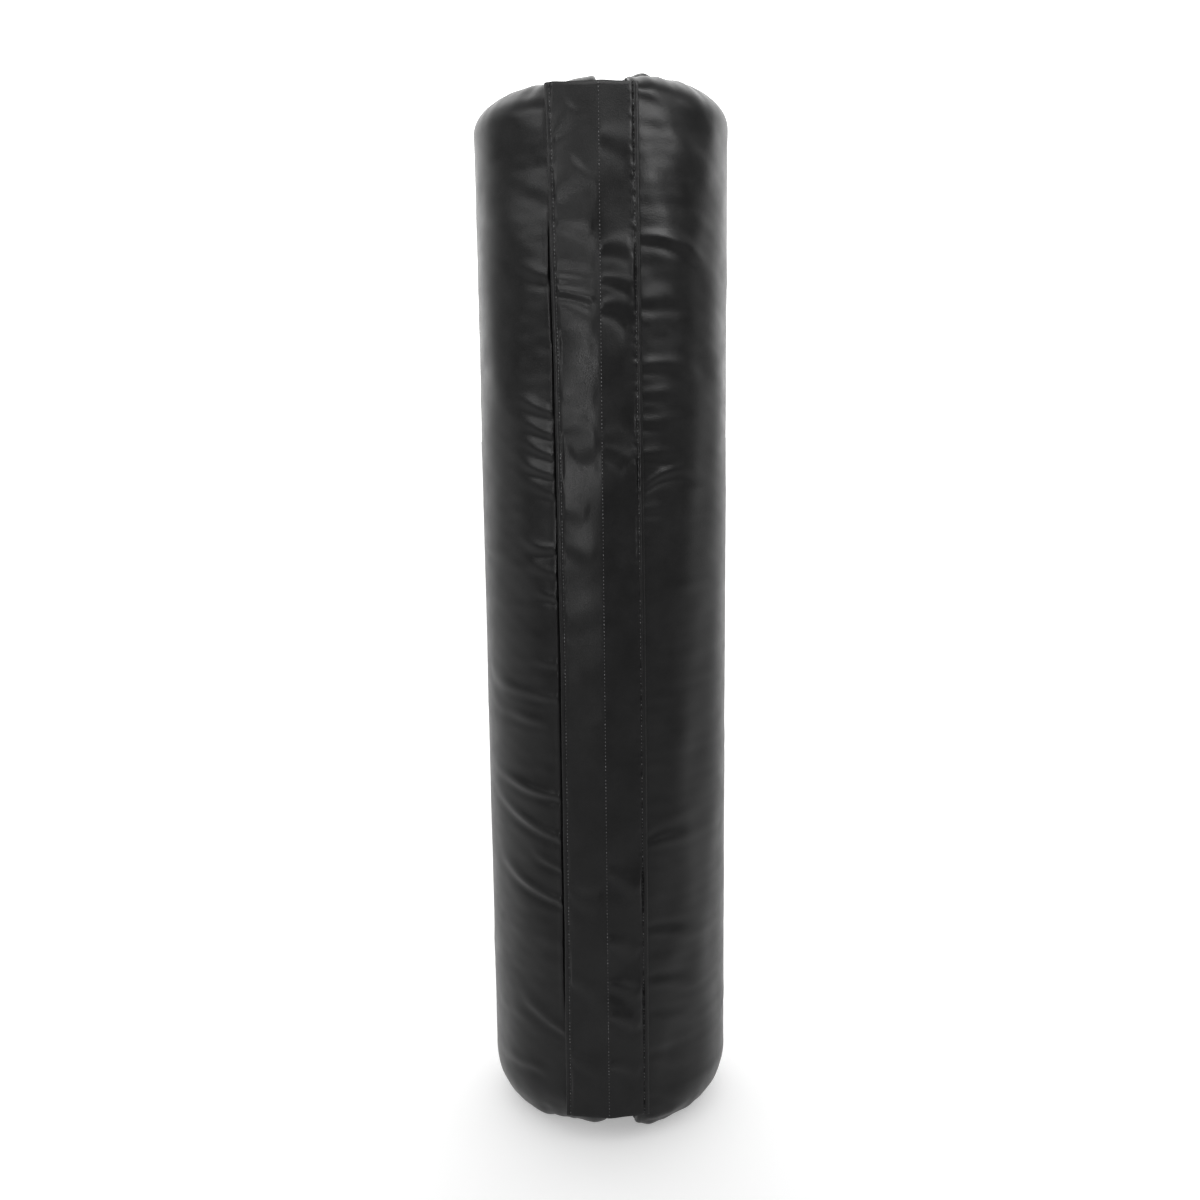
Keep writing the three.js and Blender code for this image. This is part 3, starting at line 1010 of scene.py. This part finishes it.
def camera():
    """A little to the left of the slit, at chest height, looking slightly down."""
    data = bpy.data.cameras.new("camera")
    data.sensor_width = 36
    data.lens = 38.69
    data.clip_start = 0.05
    holder = bpy.data.objects.new("camera", data)
    away, turn, height = 1.6008, math.radians(-5.8), 0.9157
    heading, down, roll = math.radians(5.55), math.radians(9.5), math.radians(0.65)
    level = math.cos(down)
    forward = Vector((math.sin(heading) * level, math.cos(heading) * level, -math.sin(down)))
    right = forward.cross(Vector((0, 0, 1))).normalized()
    up = right.cross(forward)
    tilted_right = right * math.cos(roll) - up * math.sin(roll)
    tilted_up = right * math.sin(roll) + up * math.cos(roll)
    holder.matrix_world = Matrix((tilted_right, tilted_up, -forward)).transposed().to_4x4()
    holder.location = (away * math.sin(turn), -away * math.cos(turn), height)
    bpy.context.scene.collection.objects.link(holder)
    bpy.context.scene.camera = holder


# ---- Putting the pieces in place ----
def finish_piece(piece, material, nodes=()):
    piece.data.materials.append(material)
    if nodes:
        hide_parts(*nodes)
    return piece


def both_halves(part):
    return f"right_{part}", f"left_{part}"


def blend_halves(piece):
    """Bakes the piece's place into its mesh. The pad bends at the back, between the two slit faces, but
    nothing here sets up that bend.
    """
    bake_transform(piece)


# Each softbox: its name, where it is, what it aims at, its width and height, and its power in watts.
SOFTBOXES = (
    ("overhead_front", (0.1, -2.1, 2.6), (0, 0, 1.1), 2.4, 1.0, 55),
    ("strip_left", (-0.9, -1.75, 0.88), (0, 0, 0.9), 0.35, 0.4, 8.5),
    ("high_right", (1.5, -1.6, 2.1), (0, 0, 1.1), 1.0, 1.0, 40),
    ("high_left", (-1.9, -1.0, 2.0), (0, 0, 1.1), 1.2, 1.0, 24),
)

camera()
stage_floor()
studio_world()
for box in SOFTBOXES:
    softbox(*box)
bpy.context.scene.view_settings.view_transform = "Standard"

cover_vinyl = vinyl_material("cover_vinyl")
flap_vinyl = vinyl_material("flap_vinyl")
facing_vinyl = vinyl_material("facing_vinyl", base=0.008, roughness=0.48)
lining_cloth = woven_material("lining_cloth", 0.012)
firm_foam = foam_material("firm_foam", (0.045, 0.046, 0.048))
soft_foam = foam_material("soft_foam", (0.69, 0.64, 0.51), 380.0)
hook_pile = fuzzy_material("hook_pile", 0.007, 900.0, 0.9)
loop_pile = fuzzy_material("loop_pile", 0.009, 620.0, 0.7)
thread = thread_material("thread")

cover, skin = outer_cover()
finish_piece(cover, cover_vinyl, both_halves("outer_cover"))
blend_halves(cover)

for part, seam, top in (("top_cap", skin[0], True), ("bottom_cap", skin[-1], False)):
    cap = end_cap(f"{part}_skin", seam, top)
    finish_piece(cap, cover_vinyl, both_halves(part))
    blend_halves(cap)

lining = finish_piece(bore_lining(), lining_cloth, both_halves("bore_lining"))
blend_halves(lining)

for half, side in (("right", 1), ("left", -1)):
    facing = slit_facing(f"{half}_slit_skin", side)
    finish_piece(facing, facing_vinyl, [f"{half}_slit_facing"])
    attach(facing, f"{half}_half")

foams = (
    (inner_foam(), firm_foam, "firm_foam", "inner_foam"),
    (outer_foam(), soft_foam, "soft_foam", "outer_foam"),
)
for foam, material, slot, part in foams:
    finish_piece(foam, material, both_halves(part))
    blend_halves(foam)

tab = flap_panel("flap_tab_panel", 54, is_tab=True)
finish_piece(tab, flap_vinyl, ["flap_tab_face", "flap_tab_backing"])
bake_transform(tab)

bridge = flap_panel("flap_bridge_panel", 46, is_tab=False)
finish_piece(bridge, flap_vinyl, ["flap_bridge_face", "flap_bridge_backing", "flap_seam_band"])
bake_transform(bridge)

hook = finish_piece(hook_tape(), hook_pile, ["hook_tape"])
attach(hook, "flap_tab")

loop = finish_piece(loop_tape(), loop_pile, ["loop_tape"])
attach(loop, "left_half")

flap_rows = (
    ("stitches_free_edge", lambda z: flap_lines(z)[0] + HEM / RADIUS, "flap_tab", 0),
    ("stitches_mid_row", lambda z: MID_ROW + 0.8 * MM / RADIUS, "flap_bridge", 0),
    ("stitches_right_row", lambda z: flap_lines(z)[1], "right_half", 12),
)
for name, angle_at, body, lean in flap_rows:
    row = stitch_row(name, *wall_line(angle_at, flap_height, FLAP_LOW, FLAP_HIGH), lean)
    finish_piece(row, thread)
    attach(row, body)

loop_rows = (
    ("stitches_loop_outer", LOOP_FIRST + LOOP_MARGIN),
    ("stitches_loop_inner", LOOP_LAST - LOOP_MARGIN),
)
for name, edge in loop_rows:
    row = stitch_row(name, *wall_line(lambda z: edge, loop_face, LOOP_LOW, LOOP_HIGH))
    finish_piece(row, thread)
    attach(row, "left_half")
